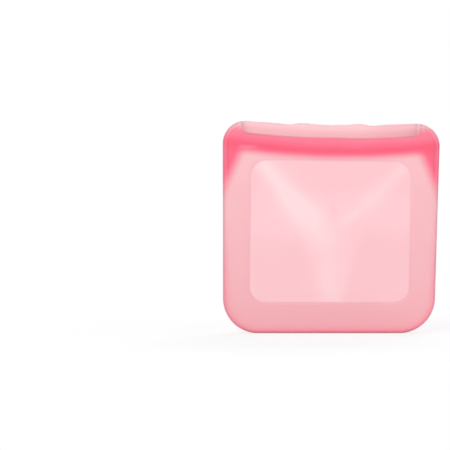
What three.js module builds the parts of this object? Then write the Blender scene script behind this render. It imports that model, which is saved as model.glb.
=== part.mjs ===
// A reusable food bag moulded in soft silicone. Two mirrored halves, front and back, are bonded along
// a turned edge that runs down both sides and along the bottom. Two solid corner closures join the
// halves beside the mouth, and a press seal, one rib that clicks between two rails, closes it.
//
// Millimetres. +X is to the right seen from the front, -Y is the front and +Z is up. The origin is
// the middle of the flat bottom edge that the empty bag stands on.

import * as THREE from 'three';
import { ParametricGeometry } from 'three/addons/geometries/ParametricGeometry.js';
import { mergeVertices } from 'three/addons/utils/BufferGeometryUtils.js';

const { clamp, degToRad, lerp, radToDeg } = THREE.MathUtils;

// ---------------------------------------------------------------- driving dimensions, millimetres

// The outline seen from the front: straight bottom, slightly flared sides, four round corners.
const bag = {
  height: 185,
  bottomWidth: 186,
  topWidth: 190,
  bottomCornerRadius: 31,
  topCornerRadius: 20,
  bellySwell: 6, // how far each wall stands out beyond the edge at the middle of the empty bag
};

// The turned edge: a round-cornered channel, open towards the pocket.
const edge = {
  halfDepth: 7, // at the bottom; it narrows to the collar's depth at the mouth
  band: 9, // from the outline to where the wall begins
  wall: 2.0,
  innerRadius: 0.7,
  bondWidth: 1.4, // the line of bonding silicone between the two halves
};

// The solid blocks that close the mouth's two corners.
const closure = {
  width: 17,
  tailDepth: 59, // from the top of the bag down to the tail's end
  shoulderDepth: 35, // from the top of the bag down to the full width
};

// The walls: a thicker border round a thinner window.
const wall = {
  borderThickness: 1.4,
  windowThickness: 0.9,
  windowSideMargin: 23,
  windowBottomMargin: 27,
  windowTopMargin: 4.5, // from the window up to the collar, at the middle of the bag
  windowCornerRadius: 14,
};

// The press seal. Every line across the mouth sags towards the middle of the bag.
const seal = {
  depthFromTop: 29.5, // from the top of the bag down to the collar's lower edge, at the middle
  collarHeight: 7.5,
  collarThickness: 3.4,
  halfGap: 1.2, // from the middle plane to each collar's inner face
  sag: 5,
  ribHeight: 2.0,
  railHeight: 1.6,
  pressGap: 0.4, // above and below the rib, to each rail
  endMargin: 1.5, // from the corner closures to the ends of the rib and rails
};

// The lips above the seal. The back one stands higher, so that a thumb can part them.
const lip = {
  thickness: 1.4,
  frontDepth: 13.5, // from the top of the bag down to the front lip's edge, at the middle
  frontSag: 3.8,
  backDepth: 2.7,
  backSag: 2.4,
};

const bondGap = 0.3; // between faces that the silicone joins
const flexGap = 0.5; // between a wall that swings open and the edge that stays

// ---------------------------------------------------------------- sizes that follow from those

const edgeRadius = edge.wall + edge.innerRadius;
const collarDepth = seal.halfGap + seal.collarThickness;
const collarBottom = bag.height - seal.depthFromTop;
const collarTop = collarBottom + seal.collarHeight;
const sealLine = (collarBottom + collarTop) / 2;
const closureInnerX = bag.topWidth / 2 - closure.width;
const closureTail = bag.height - closure.tailDepth;
const closureShoulder = bag.height - closure.shoulderDepth;
const mouthHalfWidth = closureInnerX - bondGap;
const windowBox = {
  halfWidth: Math.min(bag.bottomWidth, bag.topWidth) / 2 - wall.windowSideMargin,
  bottom: wall.windowBottomMargin,
  top: collarBottom - wall.windowTopMargin,
};

// How many straight steps stand for each stretch of an outline, and for each curved surface.
const steps = { bottom: 7, corner: 6, side: 6, taper: 2, shoulder: 2, mouth: 7, radial: 3, strip: 16 };

// ---------------------------------------------------------------- the bag's shape

/** Half the outline's width at height z. */
function halfWidthAt(z) {
  const low = bag.bottomCornerRadius;
  const high = bag.height - bag.topCornerRadius;
  return lerp(bag.bottomWidth / 2, bag.topWidth / 2, clamp((z - low) / (high - low), 0, 1));
}

/** Height of a line across the mouth that sags by `sag` between the corner closures. */
function sagHeight(x, middle, sag) {
  return middle + sag * (x / closureInnerX) ** 2;
}

/** Distance from the middle plane to the bag's outer surface, inside its rounded rim. */
function outerDepth(x, z) {
  const mouth = sagHeight(x, collarBottom, seal.sag);
  const climb = clamp(z / mouth, 0, 1);
  const across = Math.max(0, 1 - (x / halfWidthAt(z)) ** 2);
  return lerp(edge.halfDepth, collarDepth, climb) + bag.bellySwell * across * Math.sin(Math.PI * climb);
}

/** What is left of `depth` where the outline's rounded rim, `inset` away, has begun. */
function rimDepth(inset, depth) {
  const fromCentre = Math.max(0, edgeRadius - inset);
  return depth - edgeRadius + Math.sqrt(edgeRadius ** 2 - fromCentre ** 2);
}

/** Height of the top outline at x, where the top corner's arc meets a level top. */
function topOutline(x) {
  const centreX = bag.topWidth / 2 - bag.topCornerRadius;
  const beyond = Math.max(0, x - centreX);
  return bag.height - bag.topCornerRadius + Math.sqrt(bag.topCornerRadius ** 2 - beyond ** 2);
}

/** The corner closure's inner edge at height z: a taper from the edge band, then upright. */
function closureEdgeAt(z) {
  const tailX = halfWidthAt(closureTail) - edge.band;
  const climb = clamp((z - closureTail) / (closureShoulder - closureTail), 0, 1);
  return lerp(tailX, closureInnerX, climb);
}

// ---------------------------------------------------------------- point lists in the X-Z plane

const point = (x, z) => new THREE.Vector2(x, z);

/** Points on a straight line, without its end. */
function linePoints(from, to, count) {
  return Array.from({ length: count }, (_, i) => from.clone().lerp(to, i / count));
}

/** Points on an arc, without its end. Angles are in degrees from +X. */
function arcPoints(centre, radius, start, end, count) {
  return Array.from({ length: count }, (_, i) => {
    const angle = degToRad(lerp(start, end, i / count));
    return point(centre.x + radius * Math.cos(angle), centre.y + radius * Math.sin(angle));
  });
}

/** A closed loop from its right half, which runs from the bottom middle to the top middle. */
function mirrorLoop(rightHalf) {
  const leftHalf = rightHalf.slice(1, -1).reverse().map((p) => point(-p.x, p.y));
  return [...rightHalf, ...leftHalf];
}

/** The right half of the outline from the bottom middle up to height `top`, `inset` inwards. */
function edgePath(inset, top) {
  const radius = bag.bottomCornerRadius;
  const centre = point(bag.bottomWidth / 2 - radius, radius);
  const side = (z) => point(halfWidthAt(z) - inset, z);
  return [
    ...linePoints(point(0, inset), point(centre.x, inset), steps.bottom),
    ...arcPoints(centre, radius - inset, -90, 0, steps.corner),
    ...linePoints(side(radius), side(top), steps.side),
  ];
}

/** The wall's outer boundary, a flexGap inside the edge band, the closures and the collar. */
function borderLoop() {
  const top = (x) => sagHeight(x, collarBottom - flexGap, seal.sag);
  const sideX = closureInnerX - flexGap;
  const tail = point(closureEdgeAt(closureTail) - flexGap, closureTail);
  const corner = point(sideX, top(sideX));
  const shoulderX = windowBox.halfWidth - wall.windowCornerRadius;
  const alongTop = Array.from({ length: steps.mouth + 1 }, (_, i) => {
    const x = lerp(shoulderX, 0, i / steps.mouth);
    return point(x, top(x));
  });
  return mirrorLoop([
    ...edgePath(edge.band + flexGap, closureTail),
    ...linePoints(tail, point(sideX, closureShoulder), steps.taper),
    ...linePoints(point(sideX, closureShoulder), corner, steps.shoulder),
    ...linePoints(corner, point(shoulderX, top(shoulderX)), steps.shoulder),
    ...alongTop,
  ]);
}

/** The window's rounded rectangle, `inset` inwards, step for step beside the border's loop. */
function windowLoop(inset) {
  const radius = wall.windowCornerRadius - inset;
  const right = windowBox.halfWidth - inset;
  const low = point(right - radius, windowBox.bottom + inset + radius);
  const high = point(right - radius, windowBox.top - inset - radius);
  return mirrorLoop([
    ...linePoints(point(0, low.y - radius), point(low.x, low.y - radius), steps.bottom),
    ...arcPoints(low, radius, -90, 0, steps.corner),
    ...linePoints(point(right, low.y), point(right, high.y), steps.side + steps.taper),
    ...arcPoints(high, radius, 0, 90, 2 * steps.shoulder),
    ...linePoints(point(high.x, high.y + radius), point(0, high.y + radius), steps.mouth),
    point(0, high.y + radius),
  ]);
}

// ---------------------------------------------------------------- solids

/** A named mesh with a finish of its own. */
function piece(name, geometry, finish) {
  const mesh = new THREE.Mesh(geometry, new THREE.MeshStandardMaterial({ metalness: 0, ...finish }));
  mesh.name = name;
  return mesh;
}

/** Turns a geometry's triangles round if they face into the solid. */
function faceOutward(geometry) {
  const position = geometry.attributes.position;
  const index = geometry.index.array;
  const [a, b, c] = [new THREE.Vector3(), new THREE.Vector3(), new THREE.Vector3()];
  let volume = 0;
  for (let i = 0; i < index.length; i += 3) {
    a.fromBufferAttribute(position, index[i]);
    b.fromBufferAttribute(position, index[i + 1]);
    c.fromBufferAttribute(position, index[i + 2]);
    volume += a.dot(b.cross(c));
  }
  if (volume < 0) index.reverse();
  return geometry;
}

/** A closed solid from a grid: rows run along the piece and each row runs once round its section. */
function gridSolid(rows) {
  const lastRow = rows.length - 1;
  const lastColumn = rows[0].length;
  const at = (u, v, target) => {
    const row = rows[Math.round(v * lastRow)];
    target.copy(row[Math.round(u * lastColumn) % lastColumn]);
  };
  const surface = new ParametricGeometry(at, lastColumn, lastRow);
  surface.deleteAttribute('normal');
  surface.deleteAttribute('uv');
  const merged = mergeVertices(surface);
  const triangles = [];
  for (let i = 0; i < merged.index.count; i += 3) {
    const [a, b, c] = merged.index.array.slice(i, i + 3);
    if (a !== b && b !== c && c !== a) triangles.push(a, b, c);
  }
  merged.setIndex(triangles);
  merged.computeVertexNormals();
  return faceOutward(merged);
}

/** A row folded flat onto its middle, which closes the end of a section with a flat face. */
function endCap(row) {
  return row.map((p, i) => p.clone().lerp(row[row.length - 1 - i], 0.5));
}

/** A solid with one section all along the edge, from closure to closure round the bottom. */
function sweepEdge(section) {
  const top = closureTail - bondGap;
  const spine = (inset) => [...edgePath(inset, top), point(halfWidthAt(top) - inset, top)];
  const inner = spine(1);
  const right = spine(0).map((base, i) => section(base, inner[i].sub(base)));
  const left = right.slice(1).reverse().map((row) => row.map((p) => p.clone().setX(-p.x)));
  const rows = [...left, ...right];
  return gridSolid([endCap(rows[0]), ...rows, endCap(rows.at(-1))]);
}

/** The front half of the edge channel, from the bond line round to where the wall begins. */
function edgeHalf() {
  const bondFace = edge.bondWidth / 2 + bondGap;
  const bends = [0, 45, 90].map(degToRad);
  const flats = [(edgeRadius + edge.band) / 2, edge.band];
  return sweepEdge((base, inward) => {
    const place = (inset, behindFace) => {
      const p = base.clone().addScaledVector(inward, inset);
      return new THREE.Vector3(p.x, behindFace - outerDepth(p.x, p.y), p.y);
    };
    const bend = (radius) =>
      bends.map((angle) =>
        place(edgeRadius - radius * Math.cos(angle), edgeRadius - radius * Math.sin(angle)),
      );
    const skin = [...bend(edgeRadius), ...flats.map((inset) => place(inset, 0))];
    const lining = [...bend(edge.innerRadius), ...flats.map((inset) => place(inset, edge.wall))];
    const atBond = (inset) => place(inset, 0).setY(-bondFace);
    return [atBond(0), ...skin, ...lining.reverse(), atBond(edge.wall)];
  });
}

/** The bonding line between the two halves of the edge, flush with the outline. */
function edgeBond() {
  const half = edge.bondWidth / 2;
  return sweepEdge((base, inward) => {
    const place = (inset, y) => {
      const p = base.clone().addScaledVector(inward, inset);
      return new THREE.Vector3(p.x, y, p.y);
    };
    return [place(0, -half), place(edge.wall, -half), place(edge.wall, half), place(0, half)];
  });
}

/** The right-hand corner closure: solid from front to back, with a rounded outer edge. */
function cornerClosure() {
  const arcZ = bag.height - bag.topCornerRadius;
  const arcX = bag.topWidth / 2 - bag.topCornerRadius;
  const arcEnd = radToDeg(Math.acos(clamp((closureInnerX - arcX) / bag.topCornerRadius, 0, 1)));
  const taperMiddle = (closureTail + closureShoulder) / 2;
  const uprightMiddle = (closureShoulder + arcZ) / 2;
  const heights = [closureTail, taperMiddle, closureShoulder, uprightMiddle];
  const sideRows = heights.map((z) => [point(halfWidthAt(z), z), point(closureEdgeAt(z), z)]);
  const arc = arcPoints(point(arcX, arcZ), bag.topCornerRadius, 0, arcEnd, steps.corner);
  const innerTop = topOutline(closureInnerX);
  const arcRows = arc.map((p, i) => [p, point(closureInnerX, lerp(arcZ, innerTop, i / steps.corner))]);
  const tip = point(closureInnerX, innerTop);
  const roundInsets = [0, 45, 90].map((angle) => edgeRadius * (1 - Math.cos(degToRad(angle))));
  const rows = [...sideRows, ...arcRows, [tip, tip]].map(([outer, inner]) => {
    const length = outer.distanceTo(inner);
    const fullInsets = [...roundInsets, (edgeRadius + length) / 2, length];
    const insets = fullInsets.map((inset) => Math.min(inset, length));
    const front = insets.map((inset) => {
      const p = outer.clone().lerp(inner, length > 0 ? inset / length : 0);
      return new THREE.Vector3(p.x, -rimDepth(inset, outerDepth(p.x, p.y)), p.y);
    });
    const back = front.map((p) => p.clone().setY(-p.y)).reverse();
    return [...front, ...back];
  });
  return gridSolid([endCap(rows[0]), ...rows]);
}

/** A front wall piece's two faces at (x, z): the outer one and the one inside the pocket. */
function wallFaces(p, thickness) {
  const inside = wall.borderThickness - outerDepth(p.x, p.y);
  return [new THREE.Vector3(p.x, inside - thickness, p.y), new THREE.Vector3(p.x, inside, p.y)];
}

/** The front wall's thicker border, a closed band between the edge and the window. */
function wallBorder() {
  const outer = borderLoop();
  const inner = windowLoop(0);
  const rows = outer.map((p, i) => {
    const faces = Array.from({ length: steps.radial + 1 }, (_, j) =>
      wallFaces(p.clone().lerp(inner[i], j / steps.radial), wall.borderThickness),
    );
    return [...faces.map(([outside]) => outside), ...faces.map(([, inside]) => inside).reverse()];
  });
  return gridSolid([...rows, rows[0]]);
}

/** The front wall's thinner window, set back from the border's outer face. */
function wallWindow() {
  const loop = windowLoop(bondGap);
  const centre = point(0, (windowBox.bottom + windowBox.top) / 2);
  const rings = Array.from({ length: steps.radial + 1 }, (_, j) =>
    loop.map((p) => wallFaces(centre.clone().lerp(p, j / steps.radial), wall.windowThickness)),
  );
  const outside = rings.map((ring) => ring.map(([face]) => face));
  const inside = rings.map((ring) => ring.map(([, face]) => face)).reverse();
  return gridSolid([...outside, ...inside]);
}

/** A strip across the mouth between two sagging lines, from depth y = near to y = far. */
function mouthStrip({ halfWidth, bottom, bottomSag, top, topSag, near, far }) {
  const low = (x) => sagHeight(x, bottom, bottomSag);
  const high = (x) => sagHeight(x, top, topSag);
  // The curve's control lies as far below the parabola's middle as its ends lie above.
  const shape = new THREE.Shape();
  shape.moveTo(-halfWidth, low(halfWidth));
  shape.quadraticCurveTo(0, 2 * low(0) - low(halfWidth), halfWidth, low(halfWidth));
  shape.lineTo(halfWidth, high(halfWidth));
  shape.quadraticCurveTo(0, 2 * high(0) - high(halfWidth), -halfWidth, high(halfWidth));
  const geometry = new THREE.ExtrudeGeometry(shape, {
    depth: far - near,
    bevelEnabled: false,
    curveSegments: steps.strip,
  });
  // The shape is drawn in X and Y: standing it up turns its Y into Z, with its depth before `far`.
  geometry.rotateX(Math.PI / 2);
  geometry.translate(0, far, 0);
  return geometry;
}

/** The front collar, the thick band that carries its side of the press seal. */
function sealCollar() {
  return mouthStrip({
    halfWidth: mouthHalfWidth,
    bottom: collarBottom,
    bottomSag: seal.sag,
    top: collarTop,
    topSag: seal.sag,
    near: -collarDepth,
    far: -seal.halfGap,
  });
}

/** One strip of the press seal between the collars, centred `offset` above the seal line. */
function sealStrip(offset, height) {
  const reach = seal.halfGap - bondGap;
  return mouthStrip({
    halfWidth: closureInnerX - seal.endMargin,
    bottom: sealLine + offset - height / 2,
    bottomSag: seal.sag,
    top: sealLine + offset + height / 2,
    topSag: seal.sag,
    near: -reach,
    far: reach,
  });
}

/** A front-side lip: the thin flap above the collar, flush with the collar's outer face. */
function mouthLip(depthFromTop, sag) {
  return mouthStrip({
    halfWidth: mouthHalfWidth,
    bottom: collarTop + bondGap,
    bottomSag: seal.sag,
    top: bag.height - depthFromTop,
    topSag: sag,
    near: -collarDepth,
    far: lip.thickness - collarDepth,
  });
}

// ---------------------------------------------------------------- the assembly

const finishes = {
  wall: { color: 0xf5bcc3, roughness: 0.45 },
  window: { color: 0xfcd0d6, roughness: 0.42 },
  seal: { color: 0xfd7091, roughness: 0.38 },
  lip: { color: 0xffb9c4, roughness: 0.42 },
};

/** The pieces of the front half that the back half repeats as its mirror image. */
function halfBag(side, lipDepth, lipSag) {
  const half = new THREE.Group();
  half.add(
    piece(`${side}_edge`, edgeHalf(), finishes.wall),
    piece(`${side}_border`, wallBorder(), finishes.wall),
    piece(`${side}_window`, wallWindow(), finishes.window),
    piece(`${side}_collar`, sealCollar(), finishes.seal),
    piece(`${side}_lip`, mouthLip(lipDepth, lipSag), finishes.lip),
  );
  return half;
}

/** The rib, which belongs to the front collar, and the two rails of the back collar. */
function pressSeal() {
  const railOffset = seal.ribHeight / 2 + seal.pressGap + seal.railHeight / 2;
  const strips = new THREE.Group();
  strips.add(
    piece('front_seal_rib', sealStrip(0, seal.ribHeight), finishes.seal),
    piece('back_seal_rail_upper', sealStrip(railOffset, seal.railHeight), finishes.seal),
    piece('back_seal_rail_lower', sealStrip(-railOffset, seal.railHeight), finishes.seal),
  );
  return strips;
}

const siliconeBag = new THREE.Group();

const frontHalf = halfBag('front', lip.frontDepth, lip.frontSag);
const backHalf = halfBag('back', lip.backDepth, lip.backSag);
backHalf.scale.y = -1;

const rightClosure = piece('corner_closure_right', cornerClosure(), finishes.seal);
const leftClosure = piece('corner_closure_left', cornerClosure(), finishes.seal);
leftClosure.scale.x = -1;

siliconeBag.add(frontHalf, backHalf, piece('edge_bond', edgeBond(), finishes.wall));
siliconeBag.add(rightClosure, leftClosure, pressSeal());

export default siliconeBag;
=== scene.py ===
"""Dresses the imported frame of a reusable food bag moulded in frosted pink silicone.

The bag is two soft shells, front and back, that meet at a fine bond line round the edge. A thin
window is let into each shell, a solid block joins the shells at each corner of the mouth, and a
press seal of one rib and two rails closes it. Sizes inside the classes are in millimetres, and a
mesh is turned into metres when it is made.
"""

import logging
import math
from dataclasses import dataclass
from enum import Enum
from typing import Callable, Sequence

import bmesh
import bpy
import numpy as np
from mathutils import Euler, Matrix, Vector


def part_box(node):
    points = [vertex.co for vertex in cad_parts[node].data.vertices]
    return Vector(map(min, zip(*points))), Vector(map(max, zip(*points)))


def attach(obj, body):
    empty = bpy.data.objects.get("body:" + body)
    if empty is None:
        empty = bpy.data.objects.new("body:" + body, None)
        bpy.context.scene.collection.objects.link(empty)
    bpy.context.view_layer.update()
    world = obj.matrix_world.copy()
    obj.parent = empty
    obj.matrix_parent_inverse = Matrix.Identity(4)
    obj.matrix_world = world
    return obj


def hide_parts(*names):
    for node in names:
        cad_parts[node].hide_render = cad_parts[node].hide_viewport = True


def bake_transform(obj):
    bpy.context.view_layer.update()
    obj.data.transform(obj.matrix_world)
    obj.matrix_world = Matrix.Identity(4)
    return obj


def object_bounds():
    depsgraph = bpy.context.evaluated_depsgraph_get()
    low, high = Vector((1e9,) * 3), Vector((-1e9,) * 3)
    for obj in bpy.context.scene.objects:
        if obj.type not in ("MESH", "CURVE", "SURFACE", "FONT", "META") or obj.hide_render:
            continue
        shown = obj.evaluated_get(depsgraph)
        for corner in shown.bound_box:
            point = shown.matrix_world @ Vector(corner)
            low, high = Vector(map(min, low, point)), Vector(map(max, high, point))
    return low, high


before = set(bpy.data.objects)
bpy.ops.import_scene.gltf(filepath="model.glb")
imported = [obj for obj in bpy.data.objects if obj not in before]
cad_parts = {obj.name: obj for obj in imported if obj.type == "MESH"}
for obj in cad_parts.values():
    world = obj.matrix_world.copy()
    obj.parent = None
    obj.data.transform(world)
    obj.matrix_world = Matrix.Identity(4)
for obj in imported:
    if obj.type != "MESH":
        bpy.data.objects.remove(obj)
CAD_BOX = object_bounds()
MM = 0.001
LOG = logging.getLogger("silicone_bag")

Array = np.ndarray
Inputs = dict[str | int, object]

WHITE = (1.0, 1.0, 1.0, 1.0)
# Turns points in x and z from the right half of the bag to the left.
MIRROR = np.array([-1.0, 1.0])


# ------------------------------------------------------------------ small helpers


def smooth(low: float, high: float, value: Array) -> Array:
    """Rises smoothly from 0, where value is low, to 1, where it is high."""
    share = np.clip((np.asarray(value, float) - low) / (high - low), 0.0, 1.0)
    return share * share * (3.0 - 2.0 * share)


def mix(start: Array, end: Array, share: Array) -> Array:
    """Goes from start to end as share goes from 0 to 1."""
    return start + (end - start) * share


@dataclass(frozen=True)
class Fade:
    """A change that grows smoothly from nothing, where a distance is start, to amount, where it is end."""

    amount: float
    start: float
    end: float

    def at(self, distance: Array) -> Array:
        """Gives the change at each distance."""
        return self.amount * smooth(self.start, self.end, distance)


def linear(red: int, green: int, blue: int) -> tuple[float, float, float, float]:
    """Turns a display colour of 0 to 255 into the linear colour that a shader socket takes.

    Args:
        red: Red, 0 to 255.
        green: Green, 0 to 255.
        blue: Blue, 0 to 255.

    Returns:
        Linear red, green and blue, with an alpha of 1.
    """

    def channel(value: int) -> float:
        """Turns one display value into a linear one."""
        share = value / 255.0
        return share / 12.92 if share <= 0.04045 else ((share + 0.055) / 1.055) ** 2.4

    return channel(red), channel(green), channel(blue), 1.0


def box_mm(node: str) -> tuple[Array, Array]:
    """Gives a frame node's lowest and highest corner in millimetres."""
    low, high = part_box(node)
    return np.array(low) / MM, np.array(high) / MM


def feed(tree: bpy.types.NodeTree, node: bpy.types.Node, inputs: Inputs) -> None:
    """Sets or links a shader node's inputs.

    Args:
        tree: The node tree of a material or of the world.
        node: The node.
        inputs: For each input's name or number, a value or the output that feeds it.
    """
    for name, value in inputs.items():
        if isinstance(value, bpy.types.NodeSocket):
            tree.links.new(value, node.inputs[name])
        else:
            node.inputs[name].default_value = value


def add_node(
    tree: bpy.types.NodeTree, kind: str, inputs: Inputs | None = None, **options: str
) -> bpy.types.Node:
    """Adds a shader node, with its options and inputs.

    Args:
        tree: The node tree of a material or of the world.
        kind: The node's type without its leading "ShaderNode".
        inputs: For each input's name or number, a value or the output that feeds it.
        options: The node's own settings, such as its operation.

    Returns:
        The node.
    """
    node = tree.nodes.new(f"ShaderNode{kind}")
    for name, value in options.items():
        setattr(node, name, value)
    feed(tree, node, inputs or {})
    return node


def seen(tree: bpy.types.NodeTree) -> bpy.types.NodeSocket:
    """Tells the rays that show the surroundings: camera, glossy and transmission rays.

    Args:
        tree: The node tree of the floor or the world.

    Returns:
        The output that gives 1 for such a ray, or else 0.
    """
    path = add_node(tree, "LightPath")
    total = path.outputs["Is Camera Ray"]
    for name in ("Is Glossy Ray", "Is Transmission Ray"):
        either = add_node(tree, "Math", {0: total, 1: path.outputs[name]}, operation="MAXIMUM")
        total = either.outputs[0]
    return total


# ------------------------------------------------------------------ the bag's shape


@dataclass(frozen=True)
class Fold:
    """A soft ridge or furrow in a wall, straight from one place to another, with painted light along it.
    Sizes in millimetres.
    """

    start: tuple[float, float]
    end: tuple[float, float]
    start_half: float
    end_half: float
    height: float
    # A painted highlight along a ridge where positive, painted shade in a furrow where negative.
    painted_light: float

    def strength(self, x: Array, z: Array) -> Array:
        """Gives how strongly the fold is felt at each point, from 0 to 1.

        Args:
            x: Distances from the middle of the bag.
            z: Heights.

        Returns:
            1 on the fold's line, easing to 0 beside it and past its ends.
        """
        run, rise = self.end[0] - self.start[0], self.end[1] - self.start[1]
        length = math.hypot(run, rise)
        along = ((x - self.start[0]) * run + (z - self.start[1]) * rise) / length**2
        away = ((x - self.start[0]) * rise - (z - self.start[1]) * run) / length
        half = mix(self.start_half, self.end_half, np.clip(along, 0.0, 1.0))
        fade = smooth(-0.12, 0.12, along) * smooth(1.3, 0.75, along)
        return fade * np.exp(-((away / half) ** 2))


# An empty wall is pulled from the window's upper corners, and the pulls meet below the middle.
FOLDS = (
    Fold((-66.0, 155.0), (-10.0, 90.0), 7.5, 14.0, 0.90, 0.17),
    Fold((70.0, 152.0), (34.0, 116.0), 5.5, 9.0, 0.50, 0.09),
    Fold((36.0, 118.0), (10.0, 96.0), 8.0, 9.0, 0.40, 0.03),
    Fold((-4.0, 88.0), (1.0, 26.0), 15.0, 9.0, 0.50, 0.05),
    Fold((26.0, 108.0), (10.0, 96.0), 3.5, 5.0, 0.25, 0.04),
    Fold((1.0, 114.0), (4.0, 101.0), 2.6, 2.6, -0.45, -0.05),
)


class Side(Enum):
    """Which wall of the bag a piece belongs to; the value is the sign of its y."""

    FRONT = -1
    BACK = 1

    @property
    def word(self) -> str:
        """The side's name in node and piece names."""
        return self.name.lower()

    @property
    def body(self) -> str:
        """The frame's body that the side's wall moves with."""
        return f"{self.word}_wall"


@dataclass(frozen=True)
class BagPlan:
    """The bag's sizes in millimetres, most of them read from the frame.

    The fields are the fine sizes that the frame's boxes don't give.
    """

    # The outline: how much wider each side is at the top than at the bottom, and the corners' radii.
    flare: float = 2.0
    bottom_corner: float = 31.0
    top_corner: float = 20.0
    edge_half_depth: float = 7.0
    # The corner blocks, from their narrow tail up, and the soft wedge that they form in the walls.
    closure_rise: float = 24.0
    closure_tail_width: float = 9.0
    wedge_reach: float = 12.6
    wedge_slope: float = 0.44
    wedge_relief: float = 0.6
    # The seal: how far it sags, how far its right end drops and its left end rises, the gap at each
    # end of its band, and how far the band stands out of the wall.
    sag: float = 4.6
    skew: float = 0.5
    band_gap: float = 0.4
    band_relief: float = 0.35
    # The walls.
    border_thickness: float = 1.4
    window_thickness: float = 0.9
    window_gap: float = 0.3
    window_recess: float = 0.5
    window_corner: float = 14.0
    # The walls' slight waviness: its height, and how long its waves are across and up.
    wander: float = 0.16
    wander_across: float = 17.0
    wander_up: float = 23.0
    crease_fade: float = 8.0
    # The furrow beside each corner's edge: its place in from the outline, its depth and its lower end.
    bead: float = 4.9
    bead_depth: float = 0.28
    furrow_growth: Fade = Fade(1.0, 124.0, 152.0)
    # The lips: how far they stand out in the middle, rise to their ends, drop or lift, and wave.
    splay: float = 1.2
    front_rise: float = 3.8
    front_drop: float = 0.5
    front_end_drop: Fade = Fade(0.5, 0.0, 46.0)
    back_rise: float = 2.4
    back_lift: float = 0.5
    lip_wave: float = 0.9
    lip_wave_length: float = 43.0
    lip_wave_start: float = -22.8
    lip_wave_lift: float = 0.6
    lip_wave_bias: float = 0.8
    lip_wave_ends: Fade = Fade(1.0, 72.0, 40.0)
    # The lines of painted shade: half their width, how far in from the edge they lie, and their strengths.
    line_half: float = 0.8
    rim_line: float = 0.9
    lip_line: float = 0.5
    painted_furrow_shade: float = 0.60
    painted_lip_shade: float = 0.55
    # How the bag stands: its sideways shift for each millimetre up, and its top's slope to the right.
    lean: float = 0.0135
    tilt: float = 0.0165
    # How a wall comes free of the edge above the bottom, when the mouth opens.
    freeing: Fade = Fade(1.0, 12.0, 52.0)

    @property
    def half_top(self) -> float:
        """Half the width at the mouth."""
        return box_mm("corner_closure_right")[1][0]

    @property
    def height(self) -> float:
        """Height of the level top that the corner arcs meet."""
        return self.arc_centre_z + self.top_corner

    @property
    def arc_centre_z(self) -> float:
        """Height of the top corner arcs' centres."""
        beyond = self.closure_x - (self.half_top - self.top_corner)
        return box_mm("corner_closure_right")[1][2] - math.sqrt(self.top_corner**2 - beyond**2)

    @property
    def closure_x(self) -> float:
        """Where the corner blocks end and the mouth begins."""
        return box_mm("corner_closure_right")[0][0]

    @property
    def closure_tail(self) -> float:
        """Height of the corner blocks' lower ends."""
        return box_mm("corner_closure_right")[0][2]

    @property
    def closure_shoulder(self) -> float:
        """Height at which the corner blocks reach their full width."""
        return self.closure_tail + self.closure_rise

    @property
    def collar_depth(self) -> float:
        """Distance from the middle plane to the outer face at the seal."""
        return box_mm("back_collar")[1][1]

    @property
    def seal_half_gap(self) -> float:
        """Distance from the middle plane to a collar's inner face."""
        return box_mm("back_collar")[0][1]

    @property
    def collar_bottom(self) -> float:
        """Height of the collar's lower edge in the middle of the bag."""
        return box_mm("front_collar")[0][2]

    @property
    def collar_top(self) -> float:
        """Height of the collar's upper edge in the middle of the bag."""
        return box_mm("front_lip")[0][2]

    @property
    def window(self) -> tuple[float, float, float]:
        """The window's half width, bottom and top."""
        low, high = box_mm("front_window")
        return high[0] + self.window_gap, low[2] - self.window_gap, high[2] + self.window_gap

    @property
    def belly(self) -> float:
        """How far the walls stand out beyond the edge in the middle."""
        middle = mix(self.edge_half_depth, self.collar_depth, 0.5)
        return box_mm("back_window")[1][1] + self.window_recess - middle

    def settle(self, points: Array) -> Array:
        """Leans the soft bag a little, as such a bag settles when it stands on its bottom.

        Args:
            points: Points of the upright bag, one row each.

        Returns:
            The same points, shifted sideways and tilted more the higher they are.
        """
        x, y, z = points.T
        leaned = x + self.lean * (z - self.height / 2)
        tilted = z * (1.0 - self.tilt * x / self.height)
        return np.stack([leaned, y, tilted], axis=1)

    def half_width(self, z: Array) -> Array:
        """Gives half the outline's width at height z."""
        climb = np.clip((z - self.bottom_corner) / (self.arc_centre_z - self.bottom_corner), 0.0, 1.0)
        return self.half_top - self.flare * (1.0 - climb)

    def closure_climb(self, z: Array) -> Array:
        """Gives how far up a corner block's sloping inner edge a height lies, from 0 to 1."""
        return np.clip((z - self.closure_tail) / self.closure_rise, 0.0, 1.0)

    def closure_edge(self, z: Array) -> Array:
        """Gives how far from the middle a corner block's inner edge lies at height z."""
        return mix(self.half_width(z) - self.closure_tail_width, self.closure_x, self.closure_climb(z))

    def sagging(self, x: Array, middle: float, sag: float) -> Array:
        """Gives the height at x of a line across the mouth that sags by sag in the middle."""
        share = x / self.closure_x
        return middle + sag * share**2 - self.skew * share

    def lip_top(self, x: Array, side: Side) -> Array:
        """Gives the height of a lip's edge at x; the taller back lip is slightly wavy.

        Args:
            x: Distances from the middle of the bag.
            side: Whose lip.

        Returns:
            Heights in millimetres.
        """
        _, high = box_mm(f"{side.word}_lip")
        rise = self.front_rise if side is Side.FRONT else self.back_rise
        middle = high[2] - rise * (high[0] / self.closure_x) ** 2
        line = self.sagging(x, middle, rise)
        if side is Side.FRONT:
            line = line - self.front_drop - self.front_end_drop.at(np.abs(x))
        else:
            line = line + self.back_lift * np.abs(x / self.closure_x) ** 3 + self.skew * x / self.closure_x
            turn = 2.0 * math.pi * (x - self.lip_wave_start) / self.lip_wave_length
            wave = self.lip_wave_lift + np.cos(turn - self.lip_wave_bias * np.cos(turn))
            line = line + self.lip_wave * wave * self.lip_wave_ends.at(np.abs(x))
        return line

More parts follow.
